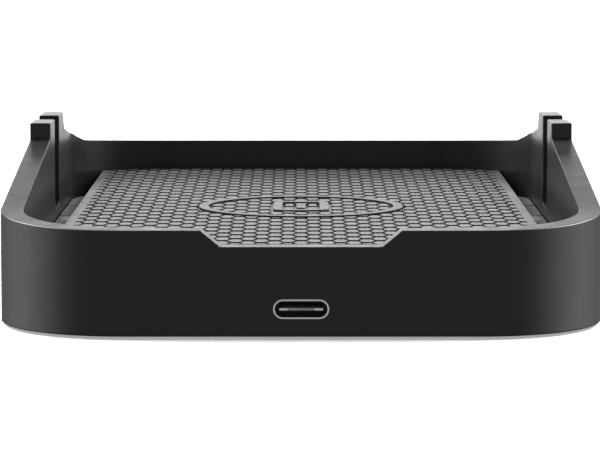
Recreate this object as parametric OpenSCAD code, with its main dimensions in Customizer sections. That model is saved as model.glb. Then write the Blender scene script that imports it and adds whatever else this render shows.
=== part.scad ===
// Laptop docking station. A shallow tray has two pairs of slotted fins that hold a closed
// laptop on edge, a studded mat inside, and a connector board under its deck.
// Millimetres. +Z is up and the front faces -Y. The origin is on the table, under the
// middle of the case. Heights named _h are measured from the case's lower edge.

/* [Case] */
// Width of the case, side to side
case_w = 98.6; // [94:0.2:120]
// Depth of the case, front to rear
case_d = 143; // [136:0.5:172]
// Radius of the case's corners, seen from above
corner_r = 20.8; // [16:0.2:26]
// Thickness of the case's walls
wall = 3.75; // [3:0.05:4.6]
// Height of the front wall
front_h = 16.9; // [16.2:0.1:19]
// Height of the rear wall
rear_h = 19.7; // [17:0.1:20.5]

/* [Fins] */
// Height of the fins
fin_h = 28.2; // [26.5:0.1:36]
// Distance from the case's front to the front post of each fin
fin_front = 76; // [60:0.5:84]
// Depth of the front post
front_post_d = 9.7; // [7:0.1:13]
// Width of the slot between the two posts
slot_w = 10; // [7:0.1:14]
// Depth of the rear post at its top
rear_post_d = 10.2; // [7:0.1:13]
// Height of the slot's floor
slot_floor_h = 11.3; // [10.5:0.1:14]
// Radius in the slot's lower corners
slot_r = 1.2; // [0.5:0.1:3]
// Height of the rim where it meets the front post
front_shoulder_h = 25.2; // [20:0.1:26]
// Height of the rim where it meets the rear post
rear_shoulder_h = 24.9; // [20:0.1:26]
// How far the rear post leans out from its top to the rim
rear_lean = 3.1; // [0:0.1:6]
// Radius where the rim turns up into the front post
fin_fillet = 0.5; // [0.3:0.1:3]
// Slope of the rim at the front wall, rise over run
rim_start_slope = 0.045; // [0:0.005:0.08]
// Distance from the front over which the rim steepens to its full slope
rim_blend = 25; // [10:1:30]
// Distance from the rear over which the rim climbs gently
rear_rise_d = 12; // [8:0.5:14]
// Height of the rim where it starts to climb steeply
rear_rise_h = 20.8; // [20.6:0.1:21.6]
// Distance from the rear to the bend where the climb eases off
rear_bend_d = 17; // [15:0.5:22]
// Height of the rim at that bend
rear_bend_h = 22.5; // [22:0.1:23.6]

/* [Front notch] */
// Width of the notch at the top of the front wall
notch_top_w = 31.6; // [24:0.2:40]
// Width of the notch at its floor
notch_floor_w = 25.4; // [16:0.2:30]

/* [Tray] */
// Height of the mat's top face, and of the notch's floor
mat_top_h = 14.3; // [13.6:0.1:15.4]
// Width of the mat and of the platform below it
mat_w = 79.6; // [70:0.2:86]
// Thickness of the mat
mat_t = 1.8; // [1.4:0.1:2.4]
// Thickness of the adhesive sheet under the mat
adhesive_t = 0.1; // [0.05:0.05:0.2]
// Outer diameter of the flat ring in the mat
ring_d = 36.3; // [24:0.1:50]
// Width of the flat ring
ring_w = 1.7; // [1:0.1:4]
// Distance from the case's front to the ring's centre
ring_front = 63.1; // [50:0.1:80]
// How far the ring stands above the mat
ring_rise = 0.2; // [0.1:0.05:0.4]
// Thickness of the deck
deck_t = 1.6; // [1.2:0.1:2]
// Height of the deck's side ledges
ledge_h = 9.6; // [9:0.1:10.4]
// Gap between the deck or the mat and the case's walls
deck_gap = 0.3; // [0.2:0.05:0.5]
// Length of each snap tab in the ledges
tab_l = 17.6; // [10:0.2:24]
// Width of the slits beside each snap tab
slit_w = 0.9; // [0.6:0.1:1.5]
// Length of the slits, in from the ledge's edge
slit_l = 2; // [1.5:0.1:3]
// Distance from the case's rear to the middle of the rear snap tabs
tab_rear = 41.4; // [30:0.1:55]

/* [Base] */
// Thickness of the base plate
base_t = 1.6; // [1.4:0.1:2]
// How far the base plate sits above the case's lower edge
base_recess = 0.2; // [0.1:0.05:0.4]
// Gap around the base plate
base_gap = 0.15; // [0.1:0.05:0.3]
// Diameter of the rubber feet
foot_d = 12; // [8:0.5:14]
// How far the feet stand out below the case's lower edge
foot_proud = 0.5; // [0.4:0.1:2]
// Depth of the pockets that hold the feet
foot_pocket = 0.8; // [0.4:0.1:1]
// Distance from the case's side to a foot's centre
foot_side = 18.5; // [16:0.5:26]
// Distance from the case's front or rear to a foot's centre
foot_end = 19.5; // [16:0.5:30]
// Thread diameter of every screw
screw_d = 2; // [1.6:0.1:2.5]
// Gap between a screw's thread and its pilot hole
thread_gap = 0.02; // [0.01:0.01:0.05]
// Diameter of the screw heads
head_d = 3.8; // [3.4:0.1:4.2]
// Height of the screw heads
head_t = 0.8; // [0.6:0.05:0.8]
// Diameter of the screw bosses
boss_d = 6; // [5.8:0.1:7]
// Distance from the case's wall to a screw boss's middle
boss_inset = 2.8; // [2.6:0.05:2.85]

/* [Board] */
// Width of the circuit board
board_w = 64; // [62:0.5:68]
// Thickness of the circuit board
board_t = 1.2; // [0.8:0.1:1.6]
// Gap between the board and the case's walls
board_gap = 0.5; // [0.3:0.1:1]
// Height of the front connector's centre, and of the board's middle
port_h = 4.4; // [4.2:0.1:4.8]
// Gap between a connector and the opening in the wall
port_gap = 0.2; // [0.1:0.05:0.3]
// How far the connectors sit inside the outer face of the wall
port_inset = 0.1; // [0.05:0.05:0.4]
// Gap between neighbouring rear connectors
port_spacing = 3; // [2:0.1:3.4]

/* [Ballast] */
// Width of the steel ballast plate
ballast_w = 68; // [60:1:72]
// Depth of the steel ballast plate
ballast_d = 96; // [80:1:100]
// Thickness of the steel ballast plate
ballast_t = 1.5; // [1:0.1:1.6]

/* [Hidden] */
$fn = 64;
eps = 0.01;

// Places shared by several pieces, as heights over the table and distances from the centre
edge_z = foot_proud;
front_y = -case_d / 2;
rear_y = case_d / 2;
inner_x = case_w / 2 - wall;
inner_y = case_d / 2 - wall;
inner_r = corner_r - wall;
mat_z = edge_z + mat_top_h;
platform_z = mat_z - mat_t - adhesive_t;
ledge_z = edge_z + ledge_h;
ledge_under_z = ledge_z - deck_t;
platform_under_z = platform_z - deck_t;
base_z = edge_z + base_recess;
base_top_z = base_z + base_t;
board_z = edge_z + port_h - board_t / 2;
board_top_z = board_z + board_t;
ballast_z = platform_under_z - ballast_t;
ring_y = front_y + ring_front;

// Fins and slot
slot_y0 = front_y + fin_front + front_post_d;
slot_y1 = slot_y0 + slot_w;
slot_floor_z = edge_z + slot_floor_h;

// Screws: base screws go up into the case's bosses, board screws down into the base plate
boss_corner = (inner_r - boss_inset) / sqrt(2);
base_screw_at = [for (sx = [-1, 1])
    each [[sx * (case_w / 2 - corner_r + boss_corner), -(case_d / 2 - corner_r + boss_corner)],
        [sx * (inner_x - boss_inset), 0],
        [sx * (case_w / 2 - corner_r + boss_corner), case_d / 2 - corner_r + boss_corner]]];
base_screw_l = 5.4;
standoff_d = 4.8;
board_screw_at = [for (sx = [-1, 1], sy = [-1, 1]) [sx * (board_w / 2 - 5), sy * (inner_y - 23)]];
board_screw_l = board_t + (board_z - base_top_z) + base_t / 2;
ballast_screw_at = [for (sx = [-1, 1], sy = [-1, 1]) [sx * (ballast_w / 2 - 6), sy * (ballast_d / 2 - 6)]];
ballast_screw_l = ballast_t + deck_t / 2;

// Connector sizes, fixed by their standards
usb_c = [8.94, 3.16, 7.9];
usb_c_wall = 0.3;
usb_a = [13.14, 5.72, 14];
usb_a_wall = 0.3;
hdmi = [15, 5.55, 11.5];
hdmi_wall = 0.4;
hdmi_corner = [2, 1.05];
ear = [1.1, 3, 0.3];
ear_bite = 0.2;
usb_c_ear_bite = 0.32;
ear_y = wall + board_gap - port_inset;

// Rear connectors, from left to right seen from the front
rear_x0 = -(usb_c[0] + hdmi[0] + 2 * usb_a[0] + 3 * port_spacing) / 2;
rear_usb_c_x = rear_x0 + usb_c[0] / 2;
hdmi_x = rear_x0 + usb_c[0] + port_spacing + hdmi[0] / 2;
usb_a_left_x = rear_x0 + usb_c[0] + hdmi[0] + 2 * port_spacing + usb_a[0] / 2;
usb_a_right_x = usb_a_left_x + usb_a[0] + port_spacing;
port_z = edge_z + port_h;
tall_port_drop = 0.1;
usb_a_z = board_z + tall_port_drop + usb_a[1] / 2;
hdmi_z = board_z + tall_port_drop + hdmi[1] / 2;

// Chips on the board: width, depth, height, then the place of the middle
hub_size = [9, 9, 1];
hub_at = [-13, 22];
video_size = [11, 11, 1];
video_at = [12, 24];
power_size = [5, 5, 0.9];
power_at = [-18, -22];
memory_size = [5.3, 4, 1.2];
memory_at = [22, 2];
spreader = [50, 28, 2];
spreader_at = [0, 23];
spreader_z = ballast_z - spreader[2];

// Colours
black = [0.11, 0.11, 0.115];
dark = [0.16, 0.16, 0.165];
grey = [0.45, 0.45, 0.46];
steel = [0.78, 0.78, 0.8];
gold = [0.85, 0.68, 0.3];

// ---- shared shapes ----

// Upright block with rounded corners, centred on Z
module rounded_block(w, d, h, r) {
    translate([-w / 2, -d / 2 + r, 0]) cube([w, d - 2 * r, h]);
    translate([-w / 2 + r, -d / 2, 0]) cube([w - 2 * r, d, h]);
    for (sx = [-1, 1], sy = [-1, 1])
        translate([sx * (w / 2 - r), sy * (d / 2 - r), 0]) cylinder(r = r, h = h, $fn = 128);
}

// Block that fills the case's inside from z0 to z1, drawn in by a gap
module inside(gap, z0, z1) {
    translate([0, 0, z0])
        rounded_block(2 * (inner_x - gap), 2 * (inner_y - gap), z1 - z0, inner_r - gap);
}

// Bar with round sides, lying along +Y from the origin
module stadium_bar(w, h, l) {
    translate([-(w - h) / 2, 0, -h / 2]) cube([w - h, l, h]);
    for (sx = [-1, 1])
        translate([sx * (w - h) / 2, 0, 0]) rotate([-90, 0, 0]) cylinder(d = h, h = l, $fn = 48);
}

// The front rim's height at a distance s from the front: a parabola, then a straight ramp
rim_slope = (front_shoulder_h - front_h - rim_start_slope * rim_blend / 2) / (fin_front - rim_blend / 2);
function front_rim(s) =
    s < rim_blend ? front_h + rim_start_slope * s + (rim_slope - rim_start_slope) / (2 * rim_blend) * s * s
        : front_shoulder_h - rim_slope * (fin_front - s);

// Side view of the case: [distance from the front, height over the lower edge]
rim_tilt = atan(rim_slope);
fillet_foot = let (x = fin_front - fin_fillet) [x, front_rim(x) + fin_fillet / cos(rim_tilt)];
fin_rear = fin_front + front_post_d + slot_w + rear_post_d;
side_view = concat([[0, 0]], [for (i = [0:6]) let (s = rim_blend * i / 6) [s, front_rim(s)]],
    [for (i = [0:4]) let (a = (rim_tilt - 90) * (1 - i / 4)) fillet_foot + fin_fillet * [cos(a), sin(a)]],
    [[fin_front, fin_h], [fin_rear, fin_h], [fin_rear + rear_lean, rear_shoulder_h],
    [case_d - rear_bend_d, rear_bend_h], [case_d - rear_rise_d, rear_rise_h], [case_d, rear_h], [case_d, 0]]);

// Screw with a flat head and a cross recess, its head's underside at the origin, pointing up
module screw(l) {
    recess = [head_d * 0.55, head_d * 0.14, head_t * 0.6];
    cylinder(d = screw_d, h = l, $fn = 32);
    difference() {
        translate([0, 0, -head_t]) cylinder(d = head_d, h = head_t, $fn = 48);
        for (a = [0, 90])
            rotate([0, 0, a]) translate([-recess[0] / 2, -recess[1] / 2, -head_t - eps])
                cube([recess[0], recess[1], recess[2] + eps]);
    }
}

module pilot_hole(l) {
    cylinder(d = screw_d + 2 * thread_gap, h = l, $fn = 32);
}

// Places its children at a connector: mouth at the origin, body along +Y
module at_front(x, z) {
    translate([x, front_y + port_inset, z]) children();
}
module at_rear(x, z) {
    translate([x, rear_y - port_inset, z]) rotate([0, 0, 180]) children();
}

// ---- case and tray ----

module port_openings() {
    cut_l = wall + 2;
    g = 2 * port_gap;
    at_front(0, port_z) translate([0, -1, 0]) stadium_bar(usb_c[0] + g, usb_c[1] + g, cut_l);
    // the rear USB-C port keeps its space, ears included, where a round corner reaches it
    at_rear(rear_usb_c_x, port_z) {
        translate([0, -1, 0]) stadium_bar(usb_c[0] + g, usb_c[1] + g, usb_c[2] + g + 1);
        translate([-usb_c[0] / 2 - ear[0], ear_y - port_gap, board_top_z - port_z - port_gap])
            cube([usb_c[0] + 2 * ear[0], ear[1] + g, ear[2] + g]);
    }
    at_rear(hdmi_x, hdmi_z) translate([0, -1, 0]) hdmi_bar(hdmi[0] + g, hdmi[1] + g, cut_l);
    for (x = [usb_a_left_x, usb_a_right_x])
        at_rear(x, usb_a_z) translate([-(usb_a[0] + g) / 2, -1, -(usb_a[1] + g) / 2])
            cube([usb_a[0] + g, cut_l, usb_a[1] + g]);
}

tab_y = [front_y + tab_rear, rear_y - tab_rear];
nib = [1.2, tab_l - 4, 1];
nib_reach = 0.7;
nib_z = ledge_under_z - 2.2;

// Pockets in the walls that the deck's snap tabs click into
module nib_pockets() {
    for (sx = [-1, 1], y = tab_y)
        translate([sx * (inner_x + nib_reach / 2) - nib_reach / 2 - eps, y - nib[1] / 2 - 0.3, nib_z - 0.2])
            cube([nib_reach + 2 * eps, nib[1] + 0.6, nib[2] + 0.5]);
}

// Ribs at the front wall, -1, and between the tall connectors at the rear wall, 1
rib = [2, 2.5];
rib_at = [[-18, -1], [18, -1], [hdmi_x + (hdmi[0] + port_spacing) / 2, 1],
    [usb_a_left_x + (usb_a[0] + port_spacing) / 2, 1]];
tall_ear_y = ear_y + rib[1];

module housing() {
    color(black) {
        difference() {
            intersection() {
                difference() {
                    translate([0, 0, edge_z]) rounded_block(case_w, case_d, fin_h, corner_r);
                    inside(0, edge_z - 1, edge_z + fin_h + 1);
                }
                translate([-case_w / 2 - 1, front_y, edge_z]) rotate([90, 0, 90])
                    linear_extrude(case_w + 2) polygon(side_view);
            }
            // notch in the front wall
            translate([0, front_y + wall + 1, 0]) rotate([90, 0, 0]) linear_extrude(wall + 2)
                polygon([[-notch_floor_w / 2, mat_z], [notch_floor_w / 2, mat_z],
                    [notch_top_w / 2, edge_z + front_h], [notch_top_w / 2, edge_z + fin_h],
                    [-notch_top_w / 2, edge_z + fin_h], [-notch_top_w / 2, edge_z + front_h]]);
            // slot through both fins
            translate([-case_w / 2 - 1, slot_y0, slot_floor_z + slot_r])
                cube([case_w + 2, slot_w, fin_h]);
            translate([-case_w / 2 - 1, slot_y0 + slot_r, slot_floor_z])
                cube([case_w + 2, slot_w - 2 * slot_r, slot_r + eps]);
            for (y = [slot_y0 + slot_r, slot_y1 - slot_r])
                translate([-case_w / 2 - 1, y, slot_floor_z + slot_r]) rotate([0, 90, 0])
                    cylinder(r = slot_r, h = case_w + 2, $fn = 32);
            port_openings();
            nib_pockets();
        }
        // screw bosses, which carry the deck's ledges
        for (p = base_screw_at)
            translate([p[0], p[1], base_top_z]) difference() {
                cylinder(d = boss_d, h = ledge_under_z - base_top_z, $fn = 48);
                translate([0, 0, -eps]) pilot_hole(base_screw_l);
            }
        // ribs that carry the platform's front and rear edges
        for (p = rib_at)
            translate([p[0] - rib[0] / 2, p[1] * (inner_y - rib[1] / 2) - rib[1] / 2, base_top_z])
                cube([rib[0], rib[1] + eps, platform_under_z - base_top_z]);
    }
}

// Cross-section of the deck: [distance from the middle, height over the table]
deck_section = let (web = mat_w / 2, out = inner_x)
    [[-out, ledge_under_z], [-web + deck_t, ledge_under_z], [-web + deck_t, platform_under_z],
    [web - deck_t, platform_under_z], [web - deck_t, ledge_under_z], [out, ledge_under_z],
    [out, ledge_z], [web, ledge_z], [web, platform_z],
    [-web, platform_z], [-web, ledge_z], [-out, ledge_z]];

module deck() {
    edge_x = inner_x - deck_gap;
    color(dark) {
        difference() {
            intersection() {
                translate([0, rear_y, 0]) rotate([90, 0, 0]) linear_extrude(case_d) polygon(deck_section);
                inside(deck_gap, ledge_under_z - 1, platform_z + 1);
            }
            // slits beside the snap tabs
            for (sx = [-1, 1], y = tab_y, sy = [-1, 1])
                translate([sx * edge_x, y + sy * (tab_l + slit_w) / 2, ledge_z - deck_t / 2])
                    cube([2 * slit_l, slit_w, deck_t + 1], center = true);
            for (p = ballast_screw_at)
                translate([p[0], p[1], platform_under_z - eps]) pilot_hole(ballast_screw_l - ballast_t + 0.2);
        }
        // hooks below the snap tabs
        for (sx = [-1, 1], y = tab_y) {
            translate([sx * (edge_x - nib[0] / 2), y, (nib_z + ledge_under_z + eps) / 2])
                cube([nib[0], nib[1], ledge_under_z + eps - nib_z], center = true);
            translate([sx * (edge_x + nib_reach / 2 - eps), y, nib_z + nib[2] / 2])
                cube([nib_reach, nib[1], nib[2]], center = true);
        }
    }
}

module mat_outline(gap, z0, z1) {
    intersection() {
        inside(deck_gap + gap, z0, z1);
        translate([-mat_w / 2 + gap, front_y, z0]) cube([mat_w - 2 * gap, case_d, z1 - z0]);
    }
}

module mat() {
    color(grey) {
        mat_outline(0, mat_z - mat_t, mat_z);
        translate([0, ring_y, mat_z - eps]) difference() {
            cylinder(d = ring_d, h = ring_rise + eps, $fn = 96);
            translate([0, 0, -1]) cylinder(d = ring_d - 2 * ring_w, h = ring_rise + 2, $fn = 96);
        }
    }
}

module mat_adhesive() {
    color([0.85, 0.85, 0.8]) mat_outline(1.5, platform_z, platform_z + adhesive_t);
}

// ---- base ----

foot_x = case_w / 2 - foot_side;
foot_y = case_d / 2 - foot_end;

module base_plate() {
    color(black) difference() {
        union() {
            inside(base_gap, base_z, base_top_z);
            for (p = board_screw_at)
                translate([p[0], p[1], base_top_z - eps])
                    cylinder(d = standoff_d, h = board_z - base_top_z + eps, $fn = 48);
        }
        for (sx = [-1, 1], sy = [-1, 1])
            translate([sx * foot_x, sy * foot_y, base_z - eps])
                cylinder(d = foot_d + 0.2, h = foot_pocket + eps);
        for (p = base_screw_at)
            translate([p[0], p[1], base_z - eps]) {
                cylinder(d = head_d + 0.6, h = head_t + 0.1 + eps, $fn = 48);
                cylinder(d = screw_d + 0.4, h = base_t + 1, $fn = 32);
            }
        for (p = board_screw_at)
            translate([p[0], p[1], board_z + eps]) mirror([0, 0, 1]) pilot_hole(board_screw_l - board_t + 0.2);
    }
}

module foot(sx, sy) {
    dish = 0.25;
    color(dark) translate([sx * foot_x, sy * foot_y, 0]) difference() {
        union() {
            cylinder(d1 = foot_d - 0.6, d2 = foot_d, h = foot_proud / 2);
            translate([0, 0, foot_proud / 2])
                cylinder(d = foot_d, h = base_z + foot_pocket - foot_proud / 2);
        }
        translate([0, 0, -eps]) cylinder(d = foot_d / 2, h = dish);
    }
}

module base_screws() {
    color(steel) for (p = base_screw_at)
        translate([p[0], p[1], base_z + 0.1 + head_t]) screw(base_screw_l);
}

// ---- board and ballast ----

// Space in the board for a connector of size s, whose mouth is at the origin
module board_notch(s) {
    translate([-s[0] / 2 - 0.2, -1, -10]) cube([s[0] + 0.4, s[2] + 1.3, 20]);
}

module main_board() {
    color([0.05, 0.2, 0.12]) difference() {
        intersection() {
            inside(board_gap, board_z, board_top_z);
            translate([-board_w / 2, -case_d / 2, board_z]) cube([board_w, case_d, board_t]);
        }
        at_front(0, port_z) board_notch(usb_c);
        at_rear(rear_usb_c_x, port_z) board_notch(usb_c);
        at_rear(hdmi_x, port_z) board_notch(hdmi);
        for (x = [usb_a_left_x, usb_a_right_x]) at_rear(x, port_z) board_notch(usb_a);
        for (p = rib_at)
            translate([p[0], p[1] * inner_y, 0])
                cube([rib[0] + 1, 2 * rib[1] + 1, 40], center = true);
        for (p = board_screw_at)
            translate([p[0], p[1], board_z - 1]) cylinder(d = screw_d + 0.4, h = board_t + 2, $fn = 32);
    }
}

module board_screws() {
    color(steel) for (p = board_screw_at)
        translate([p[0], p[1], board_top_z]) mirror([0, 0, 1]) screw(board_screw_l);
}

module ballast_plate() {
    color(steel) difference() {
        translate([0, 0, ballast_z]) rounded_block(ballast_w, ballast_d, ballast_t, 4);
        for (p = ballast_screw_at)
            translate([p[0], p[1], ballast_z - 1]) cylinder(d = screw_d + 0.4, h = ballast_t + 2, $fn = 32);
    }
}

module ballast_screws() {
    color(steel) for (p = ballast_screw_at)
        translate([p[0], p[1], ballast_z]) screw(ballast_screw_l);
}

// ---- connectors ----

// Two ears that rest a connector of size s on the board, its centre at height z. They start
// at a distance y from its mouth and bite into the shell's walls.
module ears(s, z, y, bite) {
    for (sx = [-1, 1])
        translate([sx * (s[0] / 2 + ear[0] / 2 - bite), y + ear[1] / 2, board_top_z - z + ear[2] / 2])
            cube(ear, center = true);
}

module usb_c_shell() {
    color(steel) {
        difference() {
            stadium_bar(usb_c[0], usb_c[1], usb_c[2]);
            translate([0, -1, 0])
                stadium_bar(usb_c[0] - 2 * usb_c_wall, usb_c[1] - 2 * usb_c_wall, usb_c[2] + 1 - usb_c_wall);
        }
        ears(usb_c, port_z, ear_y, usb_c_ear_bite);
    }
}

usb_c_block_l = 2.6;
usb_c_tongue_size = [6.69, 4.4, 0.7];
module usb_c_tongue() {
    block = [usb_c[0] - 2 * usb_c_wall, usb_c[1] - 2 * usb_c_wall];
    back = usb_c[2] - usb_c_wall;
    color(black) {
        translate([0, back - usb_c_block_l, 0]) stadium_bar(block[0], block[1], usb_c_block_l);
        translate([-usb_c_tongue_size[0] / 2, back - usb_c_block_l - usb_c_tongue_size[1],
            -usb_c_tongue_size[2] / 2])
            cube([usb_c_tongue_size[0], usb_c_tongue_size[1] + eps, usb_c_tongue_size[2]]);
    }
}

// Row of flat contacts on a tongue: count, pitch, width, length, thickness
module contact_row(n, pitch, w, l, t) {
    for (i = [0:n - 1])
        translate([(i - (n - 1) / 2) * pitch - w / 2, 0, 0]) cube([w, l, t]);
}

module usb_c_contacts() {
    t = 0.06;
    l = usb_c_tongue_size[1] - 0.6;
    y = usb_c[2] - usb_c_wall - usb_c_block_l - l - 0.1;
    color(gold) {
        translate([0, y, usb_c_tongue_size[2] / 2]) contact_row(12, 0.5, 0.25, l, t);
        translate([0, y, -usb_c_tongue_size[2] / 2 - t]) contact_row(12, 0.5, 0.25, l, t);
    }
}

// HDMI outline: a rectangle whose two lower corners are cut off
module hdmi_bar(w, h, l) {
    c = hdmi_corner;
    translate([0, l, 0]) rotate([90, 0, 0]) linear_extrude(l)
        polygon([[-w / 2, h / 2], [-w / 2, -h / 2 + c[1]], [-w / 2 + c[0], -h / 2],
            [w / 2 - c[0], -h / 2], [w / 2, -h / 2 + c[1]], [w / 2, h / 2]]);
}

module hdmi_shell() {
    color(steel) at_rear(hdmi_x, hdmi_z) {
        difference() {
            hdmi_bar(hdmi[0], hdmi[1], hdmi[2]);
            translate([0, -1, 0])
                hdmi_bar(hdmi[0] - 2 * hdmi_wall, hdmi[1] - 2 * hdmi_wall, hdmi[2] + 1 - hdmi_wall);
        }
        ears(hdmi, hdmi_z, tall_ear_y, ear_bite);
    }
}

hdmi_block_l = 3;
hdmi_tongue_size = [11.4, 6.6, 1.3];
module hdmi_tongue() {
    back = hdmi[2] - hdmi_wall;
    color(black) at_rear(hdmi_x, hdmi_z) {
        translate([0, back - hdmi_block_l, 0])
            hdmi_bar(hdmi[0] - 2 * hdmi_wall, hdmi[1] - 2 * hdmi_wall, hdmi_block_l);
        translate([-hdmi_tongue_size[0] / 2, back - hdmi_block_l - hdmi_tongue_size[1], 0])
            cube([hdmi_tongue_size[0], hdmi_tongue_size[1] + eps, hdmi_tongue_size[2]]);
    }
}

module hdmi_contacts() {
    t = 0.08;
    l = hdmi_tongue_size[1] - 0.8;
    y = hdmi[2] - hdmi_wall - hdmi_block_l - l - 0.1;
    color(gold) at_rear(hdmi_x, hdmi_z) {
        translate([0, y, hdmi_tongue_size[2]]) contact_row(9, 1, 0.5, l, t);
        translate([0, y, -t]) contact_row(10, 1, 0.5, l, t);
    }
}

module usb_a_shell(x) {
    inner = [usb_a[0] - 2 * usb_a_wall, usb_a[2] + 1 - usb_a_wall, usb_a[1] - 2 * usb_a_wall];
    color(steel) at_rear(x, usb_a_z) {
        difference() {
            translate([-usb_a[0] / 2, 0, -usb_a[1] / 2]) cube([usb_a[0], usb_a[2], usb_a[1]]);
            translate([-inner[0] / 2, -1, -inner[2] / 2]) cube(inner);
        }
        ears(usb_a, usb_a_z, tall_ear_y, ear_bite);
    }
}

usb_a_block_l = 4;
usb_a_tongue_size = [11.1, 8.8, 1.84];
usb_a_tongue_z = 0.1;
module usb_a_tongue(x) {
    w = usb_a[0] - 2 * usb_a_wall;
    h = usb_a[1] - 2 * usb_a_wall;
    back = usb_a[2] - usb_a_wall;
    color([0.08, 0.2, 0.55]) at_rear(x, usb_a_z) {
        translate([-w / 2, back - usb_a_block_l, -h / 2]) cube([w, usb_a_block_l, h]);
        translate([-usb_a_tongue_size[0] / 2, back - usb_a_block_l - usb_a_tongue_size[1], usb_a_tongue_z])
            cube([usb_a_tongue_size[0], usb_a_tongue_size[1] + eps, usb_a_tongue_size[2]]);
    }
}

module usb_a_contacts(x) {
    t = 0.15;
    l = usb_a_tongue_size[1] - 1.2;
    color(gold) at_rear(x, usb_a_z)
        translate([0, usb_a[2] - usb_a_wall - usb_a_block_l - l - 0.1, usb_a_tongue_z - t])
            contact_row(4, 2.3, 1, l, t);
}

// ---- chips and cooling ----

module on_board(at, size) {
    translate([at[0] - size[0] / 2, at[1] - size[1] / 2, board_top_z]) cube(size);
}

module chip(at, size) {
    mark_r = 0.35;
    color(black) difference() {
        on_board(at, size);
        translate([at[0] - size[0] / 2 + 1, at[1] + size[1] / 2 - 1, board_top_z + size[2] - 0.1])
            cylinder(r = mark_r, h = 1, $fn = 24);
    }
}

module thermal_pads() {
    inset = 0.5;
    color([0.55, 0.62, 0.7]) for (c = [[hub_at, hub_size], [video_at, video_size]]) {
        z = board_top_z + c[1][2];
        translate([c[0][0] - c[1][0] / 2 + inset, c[0][1] - c[1][1] / 2 + inset, z])
            cube([c[1][0] - 2 * inset, c[1][1] - 2 * inset, spreader_z - z]);
    }
}

module heat_spreader() {
    color([0.75, 0.76, 0.78]) translate([spreader_at[0], spreader_at[1], spreader_z])
        rounded_block(spreader[0], spreader[1], spreader[2], 2);
}

module inductors() {
    size = [6, 6, 2.8];
    color(dark) for (i = [0:2]) on_board([-20 + 8.5 * i, -34], size);
}

module capacitors() {
    d = 6.3;
    color(steel) for (i = [0:2])
        translate([4 + 9 * i, -20, board_top_z]) {
            translate([-d / 2, -d / 2, 0]) cube([d, d, 0.8]);
            cylinder(d = d - 0.3, h = 3.6, $fn = 48);
        }
}

module crystal() {
    size = [9, 3.8, 2.4];
    color(steel) translate([-22, 4, board_top_z]) {
        translate([-(size[0] - size[1]) / 2, -size[1] / 2, 0]) cube([size[0] - size[1], size[1], size[2]]);
        for (sx = [-1, 1])
            translate([sx * (size[0] - size[1]) / 2, 0, 0]) cylinder(d = size[1], h = size[2], $fn = 48);
    }
}

module board_passives() {
    size = [1, 1.8, 0.6];
    color([0.7, 0.62, 0.5]) {
        for (i = [0:6]) on_board([-9 + 3 * i, 8], size);
        for (i = [0:5]) on_board([6 + 3 * i, -32], size);
        for (i = [0:4]) on_board([-8 + 4 * i, -52], size);
    }
}

housing();
deck();
mat();
mat_adhesive();
base_plate();
foot(-1, -1);  // foot_front_left
foot(1, -1);  // foot_front_right
foot(-1, 1);  // foot_rear_left
foot(1, 1);  // foot_rear_right
base_screws();
main_board();
board_screws();
ballast_plate();
ballast_screws();
at_front(0, port_z) usb_c_shell();  // front_usb_c_shell
at_front(0, port_z) usb_c_tongue();  // front_usb_c_tongue
at_front(0, port_z) usb_c_contacts();  // front_usb_c_contacts
at_rear(rear_usb_c_x, port_z) usb_c_shell();  // rear_usb_c_shell
at_rear(rear_usb_c_x, port_z) usb_c_tongue();  // rear_usb_c_tongue
at_rear(rear_usb_c_x, port_z) usb_c_contacts();  // rear_usb_c_contacts
hdmi_shell();
hdmi_tongue();
hdmi_contacts();
usb_a_shell(usb_a_left_x);  // usb_a_left_shell
usb_a_tongue(usb_a_left_x);  // usb_a_left_tongue
usb_a_contacts(usb_a_left_x);  // usb_a_left_contacts
usb_a_shell(usb_a_right_x);  // usb_a_right_shell
usb_a_tongue(usb_a_right_x);  // usb_a_right_tongue
usb_a_contacts(usb_a_right_x);  // usb_a_right_contacts
chip(hub_at, hub_size);  // hub_chip
chip(video_at, video_size);  // video_chip
chip(power_at, power_size);  // power_chip
chip(memory_at, memory_size);  // memory_chip
thermal_pads();
heat_spreader();
inductors();
capacitors();
crystal();
board_passives();
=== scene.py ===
"""Looks of a laptop docking station: its visible pieces, their finishes and a studio stage.

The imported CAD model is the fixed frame. Pieces are modelled in millimetres with bmesh
operators and brought to metres when they are finished, in the same place as the CAD's.
"""

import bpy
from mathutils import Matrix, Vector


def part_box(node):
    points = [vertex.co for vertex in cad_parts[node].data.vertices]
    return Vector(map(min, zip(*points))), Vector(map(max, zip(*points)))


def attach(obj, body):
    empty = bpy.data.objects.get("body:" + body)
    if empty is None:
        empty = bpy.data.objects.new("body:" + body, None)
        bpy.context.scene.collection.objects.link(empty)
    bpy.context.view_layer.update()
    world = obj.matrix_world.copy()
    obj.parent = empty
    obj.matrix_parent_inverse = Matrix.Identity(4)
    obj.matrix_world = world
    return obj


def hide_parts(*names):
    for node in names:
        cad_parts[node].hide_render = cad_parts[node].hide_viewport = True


bl_info = {
    "name": "Laptop docking station",
    "version": (1, 0, 0),
    "blender": (4, 5, 0),
    "location": "3D View > Sidebar > Dock",
    "description": "Builds the dock's visible pieces round its CAD frame, and a studio stage",
    "category": "Object",
}

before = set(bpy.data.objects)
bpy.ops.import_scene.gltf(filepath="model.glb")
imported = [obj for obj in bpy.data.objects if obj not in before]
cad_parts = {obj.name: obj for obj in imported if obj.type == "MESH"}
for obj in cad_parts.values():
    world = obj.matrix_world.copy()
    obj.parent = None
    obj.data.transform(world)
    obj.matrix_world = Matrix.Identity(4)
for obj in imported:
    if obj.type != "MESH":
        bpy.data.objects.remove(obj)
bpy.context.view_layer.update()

import math

import bmesh
import bpy
from bpy.props import FloatProperty, FloatVectorProperty, PointerProperty
from mathutils import Matrix, Vector

MM = 1000.0
BODY = "root"
SHARP = math.radians(30)


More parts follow.
